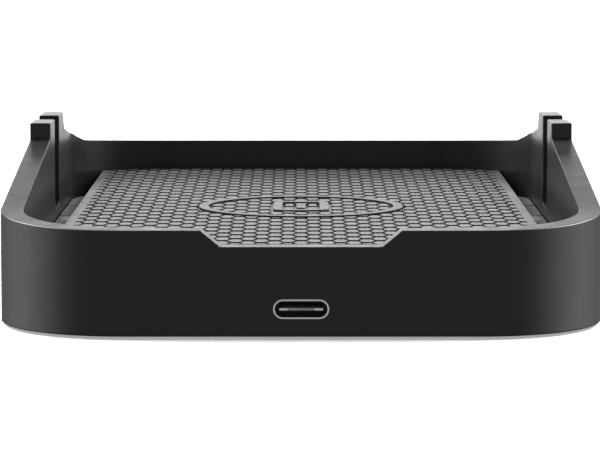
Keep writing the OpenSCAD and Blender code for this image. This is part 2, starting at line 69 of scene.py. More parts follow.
# ---- places taken from the frame, and how far its ring stands up, in millimetres ----


def box_mm(node):
    """Lowest and highest corner of a CAD node, in millimetres."""
    low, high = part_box(node)
    return low * MM, high * MM


CASE_LOW, CASE_HIGH = box_mm("housing")
MAT_LOW, MAT_HIGH = box_mm("mat")
FRONT_Y = CASE_LOW.y
REAR_Y = CASE_HIGH.y
EDGE_Z = CASE_LOW.z
RING_RISE = 0.2
MAT_Z = MAT_HIGH.z - RING_RISE


# ---- sizes and colours that a user would change ----


def length(name, description, default):
    """A size property, in metres."""
    return FloatProperty(name=name, description=description, default=default, unit="LENGTH", precision=5)


def colour(name, description, default):
    """A colour property, linear RGB."""
    return FloatVectorProperty(name=name, description=description, default=default, subtype="COLOR", size=3)


def strength(name, description, default):
    """A plain number that isn't below zero."""
    return FloatProperty(name=name, description=description, default=default, min=0)


class DockCase(bpy.types.PropertyGroup):
    """Sizes and colour of the case."""

    corner: length("Corner radius", "Radius of the case's corners, seen from above", 0.0208)
    wall: length("Wall", "Thickness of the case's walls", 0.00375)
    front: length("Front height", "Height of the front wall over the lower edge", 0.0169)
    blend: length("Rim blend", "Distance over which the front rim steepens", 0.025)
    rear: length("Rear height", "Height of the rear wall over the lower edge", 0.0197)
    rise_place: length("Rear rise place", "Distance from the rear where the rim starts to climb", 0.012)
    rise: length("Rear rise", "Height of the rim where it starts to climb", 0.0208)
    bend_place: length("Rear bend place", "Distance from the rear where the climb eases off", 0.017)
    bend: length("Rear bend", "Height of the rim where the climb eases off", 0.0225)
    fin_front: length("Fin place", "Distance from the front to the fins", 0.076)
    front_post: length("Front post", "Depth of each fin's front post", 0.0097)
    slot: length("Slot", "Width of the slot between the posts", 0.010)
    rear_post: length("Rear post", "Depth of each fin's rear post at its top", 0.0102)
    lean: length("Lean", "How far the rear post leans out to the rim", 0.0031)
    slot_floor: length("Slot floor", "Height of the slot's floor", 0.0113)
    front_shoulder: length("Front shoulder", "Height of the rim at the front post", 0.0252)
    rear_shoulder: length("Rear shoulder", "Height of the rim at the rear post", 0.0249)
    notch_top: length("Notch top", "Width of the front notch at its top", 0.0316)
    notch_floor: length("Notch floor", "Width of the front notch at its floor", 0.0254)
    edge: length("Edge radius", "Rounding of the case's edges", 0.0003)
    fillet: length("Fin fillet", "Radius where the rim turns up into the front post", 0.0005)
    slot_corner: length("Slot corner", "Radius in the slot's lower corners", 0.0012)
    colour: colour("Case colour", "Colour of the moulded plastic", (0.0112, 0.0112, 0.0118))


class DockMat(bpy.types.PropertyGroup):
    """Sizes and colour of the studded mat."""

    pitch_x: length("Column pitch", "Distance between two columns of studs", 0.002117)
    pitch_y: length("Stud pitch", "Distance between two studs of a column", 0.00569)
    first: length("First stud", "Distance from the front to the middle column's first stud", 0.00625)
    groove_x: length("Side groove", "Width of the grooves between columns", 0.00042)
    groove_y: length("Cross groove", "Width of the grooves along a column", 0.0019)
    depth: length("Groove depth", "Depth of the grooves", 0.00045)
    round: length("Stud rounding", "Rounding of a stud's upper edges", 0.00005)
    side_border: length("Side border", "Width of the plain border at the sides", 0.0015)
    end_border: length("End border", "Width of the plain border at the ends", 0.0003)
    ring: length("Ring", "Outer diameter of the flat ring", 0.0363)
    ring_width: length("Ring width", "Width of the flat ring", 0.0017)
    ring_place: length("Ring place", "Distance from the front to the ring's centre", 0.0631)
    rise: length("Rise", "How far the ring and the mark stand above the studs", RING_RISE / MM)
    mark_width: length("Mark width", "Width of the frame in the ring", 0.0098)
    mark_length: length("Mark length", "Length of the frame in the ring", 0.0160)
    mark_band: length("Mark band", "Width of the frame's sides", 0.0016)
    mark_clear: length("Mark clearance", "Space without studs round the ring and the mark", 0.00055)
    colour: colour("Mat colour", "Colour of the silicone", (0.064, 0.064, 0.065))
    # Painted shade: how bright the sides of the studs, the ring and the mark stay beside their tops,
    # multiplied into the mat's colour.
    painted_side_shade: FloatProperty(
        name="Side shade", description="How bright the studs' sides are beside their tops",
        default=0.05, min=0, max=1,
    )


class DockStage(bpy.types.PropertyGroup):
    """The camera, the floor and the lights."""

    distance: length("Camera distance", "Distance from the front wall to the camera", 0.480)
    height: length("Camera height", "Height of the camera over the floor", 0.0702)
    side: length("Camera side", "How far the camera stands to the left of the middle", 0.00018)
    pitch: strength("Pitch", "How many degrees the camera looks down", 6.17)
    lens: strength("Lens", "Focal length in millimetres", 183.9)
    back: strength("Back light", "Strength of the soft light behind", 2.2)
    sides: strength("Side light", "Strength of the soft lights at the sides and in front", 1.7)
    top: strength("Top light", "Strength of the soft lights high behind, at both sides", 14.5)
    floor_glow: strength("Floor glow", "Own light of the floor", 0.35)
    floor: colour("Floor colour", "Colour of the floor", (0.9, 0.9, 0.9))


# ---- connectors: the shape of each one's shell, and the shells' widths and heights ----

PORTS = {
    "front_usb_c": "round", "rear_usb_c": "round", "hdmi": "cut",
    "usb_a_left": "square", "usb_a_right": "square",
}
SHELL_SIZES = {"round": (8.94, 3.16), "cut": (15.0, 5.55), "square": (13.14, 5.72)}


# ---- helpers for modelling ----


def rounded_face(bm, width, depth, radius, z, segments=24):
    """One flat face with round corners, centred on Z."""
    place = Matrix.Translation((0, 0, z)) @ Matrix.Diagonal((width, depth, 1, 1))
    verts = bmesh.ops.create_grid(bm, x_segments=1, y_segments=1, size=0.5, matrix=place)["verts"]
    bmesh.ops.bevel(
        bm, geom=verts, offset=radius, offset_type="OFFSET", segments=segments, profile=0.5,
        affect="VERTICES", material=-1,
    )
    return max(bm.faces, key=lambda f: f.calc_area())


def cut(bm, point, normal, clear=False):
    """Cuts a bmesh along a plane, and clears what lies on the normal's side if asked to."""
    bmesh.ops.bisect_plane(
        bm, geom=[*bm.faces, *bm.edges, *bm.verts], dist=1e-4,
        plane_co=point, plane_no=normal, clear_outer=clear,
    )


def inset_and_open(bm, face, band):
    """Leaves a flat band round a face's outline, and takes the rest away."""
    bmesh.ops.inset_region(bm, faces=[face], thickness=band, use_boundary=True, use_even_offset=True)
    bmesh.ops.delete(bm, geom=[face], context="FACES")


def extrude(bm, faces, move):
    """Extrudes a region of faces by a vector and returns its new faces."""
    edges = {e for f in faces for e in f.edges}
    made = bmesh.ops.extrude_face_region(bm, geom=[*faces, *edges])["geom"]
    verts = [g for g in made if isinstance(g, bmesh.types.BMVert)]
    bmesh.ops.translate(bm, verts=verts, vec=move)
    return [g for g in made if isinstance(g, bmesh.types.BMFace)]


def bevel_edges(bm, edges, radius, segments=3):
    """Rounds edges."""
    bmesh.ops.bevel(
        bm, geom=list(edges), offset=radius, offset_type="OFFSET", segments=segments, profile=0.5,
        affect="EDGES", clamp_overlap=True, material=-1,
    )


def sharp_edges(bm, angle=SHARP):
    """The edges whose faces meet at more than an angle."""
    return [e for e in bm.edges if len(e.link_faces) == 2 and e.calc_face_angle(0) > angle]


def prism(bm, width, depth, height, centre, radius=0, segments=8):
    """A closed upright block, its plan's corners rounded."""
    part = bmesh.new()
    if radius:
        face = rounded_face(part, width, depth, radius, 0, segments)
    else:
        place = Matrix.Diagonal((width, depth, 1, 1))
        bmesh.ops.create_grid(part, x_segments=1, y_segments=1, size=0.5, matrix=place)
        part.faces.ensure_lookup_table()
        face = part.faces[0]
    extrude(part, [face], (0, 0, height))
    bmesh.ops.translate(part, verts=part.verts, vec=centre)
    join(bm, part)


def join(bm, part):
    """Adds a bmesh to another and frees it."""
    mesh = bpy.data.meshes.new("joined")
    part.to_mesh(mesh)
    part.free()
    bm.from_mesh(mesh)
    bpy.data.meshes.remove(mesh)


def loose_object(bm, name):
    """An object in millimetres that lends its shape to a modifier."""
    bmesh.ops.recalc_face_normals(bm, faces=bm.faces)
    mesh = bpy.data.meshes.new(name)
    bm.to_mesh(mesh)
    bm.free()
    made = bpy.data.objects.new(name, mesh)
    bpy.context.scene.collection.objects.link(made)
    return made


def combine(bm, tool, operation):
    """Applies an exact boolean with another bmesh, and returns the result as a new bmesh."""
    base = loose_object(bm, "base")
    other = loose_object(tool, "tool")
    step = base.modifiers.new("cut", "BOOLEAN")
    step.operation = operation
    step.solver = "EXACT"
    step.object = other
    graph = bpy.context.evaluated_depsgraph_get()
    result = bmesh.new()
    result.from_mesh(base.evaluated_get(graph).to_mesh())
    for gone in (base, other):
        mesh = gone.data
        bpy.data.objects.remove(gone)
        bpy.data.meshes.remove(mesh)
    if not result.faces:
        raise RuntimeError(f"the {operation.lower()} left nothing")
    return result


def finish_piece(bm, name, material, stands_for):
    """Turns a bmesh in millimetres into a finished piece in the frame."""
    if not bm.faces:
        raise RuntimeError(f"{name} has no faces")
    bmesh.ops.remove_doubles(bm, verts=bm.verts, dist=1e-4)
    bmesh.ops.recalc_face_normals(bm, faces=bm.faces)
    bmesh.ops.scale(bm, verts=bm.verts, vec=(1 / MM, 1 / MM, 1 / MM))
    mesh = bpy.data.meshes.new(name)
    bm.to_mesh(mesh)
    bm.free()
    mesh.polygons.foreach_set("use_smooth", [True] * len(mesh.polygons))
    mesh.set_sharp_from_angle(angle=SHARP)
    piece = bpy.data.objects.new(name, mesh)
    bpy.context.scene.collection.objects.link(piece)
    mesh.materials.append(material)
    weighted = piece.modifiers.new("flat faces stay flat", "WEIGHTED_NORMAL")
    weighted.keep_sharp = True
    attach(piece, BODY)
    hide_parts(*stands_for)
    return piece


def softened(node, name, material, radius, segments=2):
    """A copy of a CAD node whose sharp edges are rounded, and which stands for it."""
    bm = bmesh.new()
    bm.from_mesh(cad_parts[node].data)
    bmesh.ops.scale(bm, verts=bm.verts, vec=(MM, MM, MM))
    bmesh.ops.remove_doubles(bm, verts=bm.verts, dist=1e-3)
    bmesh.ops.dissolve_limit(bm, angle_limit=math.radians(0.5), verts=bm.verts, edges=bm.edges)
    bevel_edges(bm, sharp_edges(bm), radius, segments)
    return finish_piece(bm, name, material, [node])


# ---- finishes ----


def node_tree(name):
    """A new material and its node tree's parts."""
    material = bpy.data.materials.new(name)
    material.use_nodes = True
    tree = material.node_tree
    return material, tree, tree.nodes["Principled BSDF"]


def grain(tree, size, detail=3.0, stretch=(1, 1, 1)):
    """Noise on object coordinates whose grains are about `size` millimetres."""
    place = tree.nodes.new("ShaderNodeTexCoord")
    mapping = tree.nodes.new("ShaderNodeMapping")
    mapping.inputs["Scale"].default_value = stretch
    noise = tree.nodes.new("ShaderNodeTexNoise")
    noise.inputs["Scale"].default_value = MM / size
    noise.inputs["Detail"].default_value = detail
    noise.inputs["Roughness"].default_value = 0.6
    tree.links.new(place.outputs["Object"], mapping.inputs["Vector"])
    tree.links.new(mapping.outputs["Vector"], noise.inputs["Vector"])
    return noise.outputs["Fac"]


def spread(tree, value, low, high):
    """Spreads a 0 to 1 value between two numbers."""
    node = tree.nodes.new("ShaderNodeMapRange")
    node.inputs["From Min"].default_value = 0.3
    node.inputs["From Max"].default_value = 0.7
    node.inputs["To Min"].default_value = low
    node.inputs["To Max"].default_value = high
    tree.links.new(value, node.inputs["Value"])
    return node.outputs["Result"]


def tint(tree, value, colour, amount):
    """Mixes a colour's darker and lighter shades by a value."""
    node = tree.nodes.new("ShaderNodeMix")
    node.data_type = "RGBA"
    node.inputs["A"].default_value = (*[c * (1 - amount) for c in colour], 1)
    node.inputs["B"].default_value = (*[min(1, c * (1 + amount)) for c in colour], 1)
    tree.links.new(value, node.inputs["Factor"])
    return node.outputs["Result"]


def bump(tree, height, depth, before=None):
    """A bump whose relief is `depth` millimetres, laid over another one."""
    node = tree.nodes.new("ShaderNodeBump")
    node.inputs["Strength"].default_value = 1.0
    node.inputs["Distance"].default_value = depth / MM
    tree.links.new(height, node.inputs["Height"])
    if before is not None:
        tree.links.new(before, node.inputs["Normal"])
    return node.outputs["Normal"]


def finish(name, colour, rough, grain_size, relief, metal=0.0, shade=0.12, streak=None, **sockets):
    """A procedural finish: shade, roughness and relief from noise at the material's own grain.

    rough is the lowest and highest roughness. streak is the size, stretch and relief of a
    second, directional noise. sockets are set on the shader as they are.
    """
    material, tree, shader = node_tree(name)
    fine = grain(tree, grain_size)
    broad = grain(tree, grain_size * 40, 4.0)
    shader.inputs["Metallic"].default_value = metal
    tree.links.new(tint(tree, broad, colour, shade), shader.inputs["Base Color"])
    tree.links.new(spread(tree, broad, *rough), shader.inputs["Roughness"])
    normal = bump(tree, fine, relief)
    if streak:
        size, stretch, depth = streak
        normal = bump(tree, grain(tree, size, 2.0, stretch), depth, normal)
    tree.links.new(normal, shader.inputs["Normal"])
    for socket, value in sockets.items():
        shader.inputs[socket.replace("_", " ")].default_value = value
    return material


def case_plastic():
    """Satin black moulded plastic with faint level streaks."""
    look = bpy.context.scene.dock_case
    return finish(
        "satin_black_plastic", look.colour, (0.30, 0.38), 0.12, 0.0012,
        streak=(2.0, (0.1, 0.1, 8.0), 0.0015),
    )


def deck_plastic():
    """The same plastic on the deck, a little more matt."""
    return finish("deck_plastic", (0.085, 0.085, 0.086), (0.6, 0.7), 0.12, 0.0015)


def base_plastic():
    """Spark-eroded black plastic under the case."""
    return finish("textured_black_plastic", (0.014, 0.014, 0.015), (0.5, 0.62), 0.3, 0.02)


def silicone():
    """Dark silicone, silky on top, with painted shade that darkens the studs' sides."""
    look = bpy.context.scene.dock_mat
    material = finish(
        "silky_silicone", look.colour, (0.36, 0.46), 0.09, 0.0012, shade=0.1,
        Specular_IOR_Level=0.5,
    )
    tree = material.node_tree
    place = tree.nodes.new("ShaderNodeTexCoord")
    parts = tree.nodes.new("ShaderNodeSeparateXYZ")
    tree.links.new(place.outputs["Normal"], parts.inputs["Vector"])
    # Painted shade: the base colour is multiplied down where the surface turns sideways, so the sides of
    # the studs, the ring and the mark come out darker than their tops.
    painted_side_shade_mask = tree.nodes.new("ShaderNodeMapRange")
    painted_side_shade_mask.inputs["From Min"].default_value = 0.4
    painted_side_shade_mask.inputs["From Max"].default_value = 0.95
    painted_side_shade_mask.inputs["To Min"].default_value = look.painted_side_shade
    tree.links.new(parts.outputs["Z"], painted_side_shade_mask.inputs["Value"])
    base = tree.nodes["Principled BSDF"].inputs["Base Color"]
    shade = tree.nodes.new("ShaderNodeMix")
    shade.data_type = "RGBA"
    shade.blend_type = "MULTIPLY"
    shade.inputs["Factor"].default_value = 1.0
    tree.links.new(base.links[0].from_socket, shade.inputs["A"])
    tree.links.new(painted_side_shade_mask.outputs["Result"], shade.inputs["B"])
    tree.links.new(shade.outputs["Result"], base)
    return material


def foot_rubber():
    """Matt black rubber."""
    return finish("foot_rubber", (0.018, 0.018, 0.018), (0.7, 0.85), 0.2, 0.01)


def nickel():
    """Drawn and nickel-plated steel."""
    return finish(
        "nickel_plated_steel", (0.72, 0.71, 0.69), (0.12, 0.2), 0.06, 0.0006, metal=1.0,
        streak=(0.5, (10, 1, 1), 0.001),
    )


def screw_steel():
    """Zinc-plated steel."""
    return finish("zinc_plated_steel", (0.42, 0.42, 0.43), (0.25, 0.4), 0.08, 0.002, metal=1.0)


def gold_contacts():
    """Thin gold plating."""
    return finish("gold_plating", (0.83, 0.62, 0.25), (0.18, 0.3), 0.05, 0.0005, metal=1.0)


def port_plastic():
    """The connectors' moulded insulators."""
    return finish("port_insulator", (0.02, 0.02, 0.021), (0.4, 0.5), 0.1, 0.002)


# ---- operators ----


def front_rim(look, s):
    """Height over the case's lower edge of the rim at a distance s behind the front."""
    start, blend, run = 0.045, look.blend * MM, look.fin_front * MM
    front, shoulder = look.front * MM, look.front_shoulder * MM
    slope = (shoulder - front - start * blend / 2) / (run - blend / 2)
    if s < blend:
        return front + start * s + (slope - start) / (2 * blend) * s * s
    return shoulder - slope * (run - min(s, run))


def rear_rim(look, s):
    """Height over the case's lower edge of the rim at a distance s from the rear."""
    run = REAR_Y - FRONT_Y - fin_foot(look)
    line = ((0, look.rear * MM), (look.rise_place * MM, look.rise * MM),
            (look.bend_place * MM, look.bend * MM), (run, look.rear_shoulder * MM))
    for (s0, z0), (s1, z1) in zip(line, line[1:]):
        if s <= s1:
            break
    return z0 + (z1 - z0) * (min(s, run) - s0) / (s1 - s0)


def fin_foot(look):
    """Distance from the front to the foot of the fin's rear post."""
    return (look.fin_front + look.front_post + look.slot + look.rear_post + look.lean) * MM


def rim_height(look, y):
    """Height over the table of the rim beside a point along the case."""
    s = y - FRONT_Y
    middle = (look.fin_front + look.front_post + look.slot / 2) * MM
    return EDGE_Z + (front_rim(look, s) if s < middle else rear_rim(look, REAR_Y - y))


def port_cutters(clearance=0.06, reach=1.0):
    """Closed blocks in the shape of the connectors' openings."""
    tool = bmesh.new()
    for port, shape in PORTS.items():
        low, high = box_mm(f"{port}_shell")
        width, height = (size + 2 * clearance for size in SHELL_SIZES[shape])
        at_front = low.y < 0
        mid = Vector(((low.x + high.x) / 2, (FRONT_Y if at_front else REAR_Y), (low.z + high.z) / 2))
        wall = bpy.context.scene.dock_case.wall * MM
        part = bmesh.new()
        if shape == "round":
            face = rounded_face(part, width, height, height / 2 - 1e-3, 0, 12)
        else:
            face = rounded_face(part, width, height, 0.25, 0, 3)
        if shape == "cut":
            for v in part.verts:
                over = abs(v.co.x) - (width / 2 - 2.0)
                if v.co.y < 0 and over > 0:
                    v.co.y += over * 0.525
        extrude(part, [face], (0, 0, wall + 2 * reach))
        turn = Matrix.Rotation(math.radians(90), 4, "X")
        shift = Matrix.Translation(mid + Vector((0, wall + reach if at_front else reach, 0)))
        bmesh.ops.transform(part, matrix=shift @ turn, verts=part.verts)
        join(tool, part)
    return tool


class DOCK_OT_housing(bpy.types.Operator):
    """Model the housing: a ring of wall whose rim climbs into two slotted fins"""

    bl_idname = "dock.housing"
    bl_label = "Housing"

    def execute(self, context):
        look = context.scene.dock_case
        width, depth = CASE_HIGH.x - CASE_LOW.x, REAR_Y - FRONT_Y
        floor = EDGE_Z + look.slot_floor * MM
        fin0 = FRONT_Y + look.fin_front * MM
        slot0 = fin0 + look.front_post * MM
        slot1 = slot0 + look.slot * MM
        fin1 = slot1 + look.rear_post * MM
        foot = FRONT_Y + fin_foot(look)
        notch = [look.notch_floor * MM / 2, look.notch_top * MM / 2]

        bm = bmesh.new()
        face = rounded_face(bm, width, depth, look.corner * MM, EDGE_Z)
        inset_and_open(bm, face, look.wall * MM)
        blend = look.blend * MM
        bends = [FRONT_Y + blend * i / 4 for i in range(1, 5)]
        bends += [REAR_Y - look.rise_place * MM, REAR_Y - look.bend_place * MM]
        for y in (*bends, fin0, slot0, slot1, foot):
            cut(bm, (0, y, 0), (0, 1, 0))
        for x in (-notch[1], -notch[0], notch[0], notch[1]):
            cut(bm, (x, 0, 0), (1, 0, 0))

        def between(faces, y0, y1):
            """The side walls' faces between two places along the case."""
            middles = [(f, f.calc_center_median()) for f in faces]
            return [f for f, middle in middles if y0 < middle.y < y1 and abs(middle.x) > width / 4]

        top = extrude(bm, list(bm.faces), (0, 0, floor - EDGE_Z))
        slots = set(between(top, slot0, slot1))
        rim = extrude(bm, [f for f in top if f not in slots], (0, 0, 1))
        for v in {v for f in rim for v in f.verts}:
            v.co.z = rim_height(look, v.co.y)
            if v.co.y < 0 and abs(v.co.x) <= notch[0] + 0.01:
                v.co.z = MAT_Z
            elif v.co.y < 0 and abs(v.co.x) <= notch[1] + 0.01:
                v.co.z = EDGE_Z + look.front * MM
        feet = [between(rim, y0, y1) for y0, y1 in ((fin0, slot0), (slot1, foot))]
        for faces in feet:
            posts = extrude(bm, faces, (0, 0, 1))
            for v in {v for f in posts for v in f.verts}:
                v.co.z = CASE_HIGH.z
                if v.co.y > foot - 0.01:
                    v.co.y = fin1
        bmesh.ops.dissolve_limit(bm, angle_limit=math.radians(0.05), verts=bm.verts, edges=bm.edges)

        def along_x(y, z):
            """The long edges across the walls at a place and a height."""
            def near(v):
                return abs(v.co.y - y) < 0.02 and abs(v.co.z - z) < 0.05
            return [e for e in bm.edges if all(near(v) for v in e.verts)
                    and abs(e.verts[0].co.x - e.verts[1].co.x) > 2]

        bevel_edges(bm, along_x(fin0, rim_height(look, fin0)), look.fillet * MM, 3)
        for y in (slot0, slot1):
            bevel_edges(bm, along_x(y, floor), look.slot_corner * MM, 4)
        bmesh.ops.recalc_face_normals(bm, faces=bm.faces)
        bevel_edges(bm, sharp_edges(bm), look.edge * MM, 3)
        bm = combine(bm, port_cutters(), "DIFFERENCE")
        finish_piece(bm, "case_housing", case_plastic(), ["housing"])
        return {"FINISHED"}


def stud(look):
    """One stud: a hexagon drawn out along Y, its upper edges rounded."""
    bm = bmesh.new()
    turn = Matrix.Rotation(math.radians(90), 4, "Z")
    bmesh.ops.create_circle(bm, cap_ends=True, segments=6, radius=1, matrix=turn)
    half_x = (look.pitch_x * 2 / 3 - look.groove_x / 2) * MM
    half_y = (look.pitch_y - look.groove_y) / 2 * MM
    root = MAT_Z - look.depth * MM - 0.1
    bmesh.ops.scale(bm, vec=(half_x, half_y / math.sin(math.radians(60)), 1), verts=bm.verts)
    bmesh.ops.translate(bm, vec=(0, 0, root), verts=bm.verts)
    top = extrude(bm, list(bm.faces), (0, 0, MAT_Z - root))
    bevel_edges(bm, top[0].edges, look.round * MM, 2)
    bmesh.ops.recalc_face_normals(bm, faces=bm.faces)
    return bm


def stud_field(look):
    """Columns of studs over the whole mat, every other column half a pitch further back."""
    bm = stud(look)
    one = [*bm.verts, *bm.edges, *bm.faces]
    step_x, step_y = look.pitch_x * MM, look.pitch_y * MM
    rows = int((MAT_HIGH.y - MAT_LOW.y) / step_y) + 3
    for row in range(1, rows):
        made = bmesh.ops.duplicate(bm, geom=one)["geom"]
        verts = [g for g in made if isinstance(g, bmesh.types.BMVert)]
        bmesh.ops.translate(bm, vec=(0, row * step_y, 0), verts=verts)
    first = FRONT_Y + look.first * MM
    bmesh.ops.translate(bm, vec=(0, first - step_y, 0), verts=bm.verts)
    column = [*bm.verts, *bm.edges, *bm.faces]
    reach = int(MAT_HIGH.x / step_x) + 1
    for side in range(-reach, reach + 1):
        if side == 0:
            continue
        made = bmesh.ops.duplicate(bm, geom=column)["geom"]
        verts = [g for g in made if isinstance(g, bmesh.types.BMVert)]
        bmesh.ops.translate(bm, vec=(side * step_x, -step_y / 2 * (side % 2), 0), verts=verts)
    return bm


def mat_face(bm, inset_x, inset_y, z):
    """The mat's outline as a face, drawn in from its sides and its ends."""
    case = bpy.context.scene.dock_case
    gap = CASE_HIGH.y - case.wall * MM - MAT_HIGH.y + inset_y
    radius = (case.corner - case.wall) * MM - gap
    width = CASE_HIGH.x - CASE_LOW.x - 2 * (case.wall * MM + gap)
    depth = MAT_HIGH.y - MAT_LOW.y - 2 * inset_y
    rounded_face(bm, width, depth, radius, z, 16)
    for side in (-1, 1):
        cut(bm, (side * (MAT_HIGH.x - inset_x), 0, 0), (side, 0, 0), clear=True)


def raised_marks(look, low, high, grow=0):
    """The flat ring, and inside it a plain rounded frame round a bar, all drawn out by `grow`."""
    bm = bmesh.new()
    centre = Vector((0, FRONT_Y + look.ring_place * MM, low))
    place = Matrix.Translation(centre)
    radius, band = look.ring * MM / 2 + grow, look.ring_width * MM + 2 * grow
    bmesh.ops.create_circle(bm, cap_ends=True, segments=96, radius=radius, matrix=place)
    hollow_face(bm, bm.faces[:][0], band, high - low)
    frame_part = bmesh.new()
    sizes = (look.mark_band, look.mark_width, look.mark_length)
    band, width, long = (size * MM + 2 * grow for size in sizes)
    face = rounded_face(frame_part, width, long, 2.4 + grow, 0, 8)
    hollow_face(frame_part, face, band, high - low)
    bmesh.ops.translate(frame_part, vec=centre, verts=frame_part.verts)
    join(bm, frame_part)
    prism(bm, band, look.mark_length * MM / 2 + 2 * grow, high - low, centre, 0.7)
    return bm


def hollow_face(bm, face, band, height):
    """Turns a face into a closed wall round its outline."""
    inset_and_open(bm, face, band)
    extrude(bm, list(bm.faces), (0, 0, height))


class DOCK_OT_mat(bpy.types.Operator):
    """Model the mat: a slab with a border, hexagon studs, a raised ring and a plain mark"""

    bl_idname = "dock.mat"
    bl_label = "Studded mat"

    def execute(self, context):
        look = context.scene.dock_mat
        floor = MAT_Z - look.depth * MM

        field = bmesh.new()
        overlap = 0.02
        mat_face(field, look.side_border * MM - overlap, look.end_border * MM - overlap, floor - 1)
        extrude(field, list(field.faces), (0, 0, 3))
        bm = combine(stud_field(look), field, "INTERSECT")
        bm = combine(bm, raised_marks(look, floor - 1, MAT_Z + 1, look.mark_clear * MM), "DIFFERENCE")

        slab = bmesh.new()
        mat_face(slab, 0, 0, MAT_LOW.z)
        extrude(slab, list(slab.faces), (0, 0, MAT_Z - MAT_LOW.z))
        pocket = bmesh.new()
        mat_face(pocket, look.side_border * MM, look.end_border * MM, floor)
        extrude(pocket, list(pocket.faces), (0, 0, 3))
        join(bm, combine(slab, pocket, "DIFFERENCE"))

        top = MAT_Z + look.rise * MM
        raised = raised_marks(look, floor - 0.1, top)
        upper = [e for e in sharp_edges(raised) if min(v.co.z for v in e.verts) > top - 0.01]
        bevel_edges(raised, upper, 0.04, 2)
        join(bm, raised)
        finish_piece(bm, "studded_mat", silicone(), ["mat"])
        return {"FINISHED"}


class DOCK_OT_deck(bpy.types.Operator):
    """Finish the deck: its platform, ledges and snap tabs"""

    bl_idname = "dock.deck"
    bl_label = "Deck"

    def execute(self, context):
        softened("deck", "tray_deck", deck_plastic(), 0.04)
        return {"FINISHED"}


class DOCK_OT_base(bpy.types.Operator):
    """Finish the base plate, the feet and the screws"""

    bl_idname = "dock.base"
    bl_label = "Base, feet and screws"

    def execute(self, context):
        softened("base_plate", "bottom_cover", base_plastic(), 0.15)
        rubber = foot_rubber()
        for end in ("front", "rear"):
            for side in ("left", "right"):
                softened(f"foot_{end}_{side}", f"rubber_foot_{end}_{side}", rubber, 0.1)
        steel = screw_steel()
        for node in ("base_screws", "board_screws", "ballast_screws"):
            softened(node, f"steel_{node}", steel, 0.06)
        return {"FINISHED"}


class DOCK_OT_ports(bpy.types.Operator):
    """Finish the connectors: shells, tongues and contacts"""

    bl_idname = "dock.ports"
    bl_label = "Connectors"

    def execute(self, context):
        shell, plastic, gold = nickel(), port_plastic(), gold_contacts()
        for port in PORTS:
            softened(f"{port}_shell", f"{port}_metal", shell, 0.13, 3)
            softened(f"{port}_tongue", f"{port}_insulator", plastic, 0.06)
            softened(f"{port}_contacts", f"{port}_pads", gold, 0.02, 1)
        steel = screw_steel()
        plate_width, plate_height, latch_width, latch_place = 4.4, 0.36, 1.3, 2.8
        for port in [name for name, shape in PORTS.items() if shape == "round"]:
            low, high = box_mm(f"{port}_tongue")
            end = low.y if low.y < 0 else high.y
            centre = Vector(((low.x + high.x) / 2, end, (low.z + high.z) / 2 - 0.25))
            middle = bmesh.new()
            prism(middle, plate_width, 0.1, plate_height, centre)
            finish_piece(middle, f"{port}_mid_plate", steel, [f"{port}_tongue"])
            latches = bmesh.new()
            for side in (-1, 1):
                prism(latches, latch_width, 0.3, plate_height, centre + Vector((side * latch_place, 0, 0)))
            finish_piece(latches, f"{port}_latches", shell, [f"{port}_tongue"])
        return {"FINISHED"}


class DOCK_OT_inside(bpy.types.Operator):
    """Give the board, its chips and the other inner parts their finishes"""

    bl_idname = "dock.inside"
    bl_label = "Board and inner parts"

    def execute(self, context):
        finishes = {
            "main_board": finish("solder_mask", (0.012, 0.06, 0.035), (0.2, 0.35), 0.25, 0.01),
            "ballast_plate": finish("rolled_steel", (0.5, 0.5, 0.51), (0.3, 0.45), 0.1, 0.003, metal=1.0,
                                    streak=(1.0, (8, 1, 1), 0.003)),
            "heat_spreader": finish("milled_aluminium", (0.75, 0.76, 0.78), (0.25, 0.4), 0.1, 0.003,
                                    metal=1.0, streak=(0.8, (1, 8, 1), 0.003)),
            "mat_adhesive": finish("adhesive_film", (0.75, 0.75, 0.7), (0.3, 0.45), 0.2, 0.004),
            "thermal_pads": finish("thermal_pad", (0.3, 0.36, 0.45), (0.6, 0.8), 0.15, 0.02),
            "inductors": finish("ferrite", (0.06, 0.06, 0.062), (0.5, 0.7), 0.1, 0.01),
            "capacitors": finish("drawn_can", (0.7, 0.7, 0.72), (0.2, 0.35), 0.08, 0.002, metal=1.0),
            "crystal": finish("crystal_can", (0.66, 0.66, 0.67), (0.2, 0.3), 0.08, 0.002, metal=1.0),
            "board_passives": finish("fired_ceramic", (0.45, 0.36, 0.26), (0.4, 0.6), 0.05, 0.004),
        }
        epoxy = finish("chip_epoxy", (0.02, 0.02, 0.022), (0.45, 0.6), 0.06, 0.004)
        for node in ("hub_chip", "video_chip", "power_chip", "memory_chip"):
            finishes[node] = epoxy
        for node, material in finishes.items():
            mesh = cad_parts[node].data
            mesh.materials.clear()
            mesh.materials.append(material)
        return {"FINISHED"}


def light_curve(tree, value, *stops):
    """A smooth curve through stops of (place, level), both from 0 to 1."""
    ramp = tree.nodes.new("ShaderNodeValToRGB")
    ramp.color_ramp.interpolation = "EASE"
    points = ramp.color_ramp.elements
    while len(points) < len(stops):
        points.new(0.5)
    for point, (place, level) in zip(points, stops):
        point.position = place
        point.color = (level, level, level, 1)
    tree.links.new(value, ramp.inputs["Fac"])
    return ramp.outputs["Color"]


def calculate(tree, operation, first, second, third=None):
    """One step of arithmetic on sockets or numbers."""
    node = tree.nodes.new("ShaderNodeMath")
    node.operation = operation
    for socket, value in zip(node.inputs, (first, second, third)):
        if isinstance(value, bpy.types.NodeSocket):
            tree.links.new(value, socket)
        elif value is not None:
            socket.default_value = value
    return node.outputs["Value"]


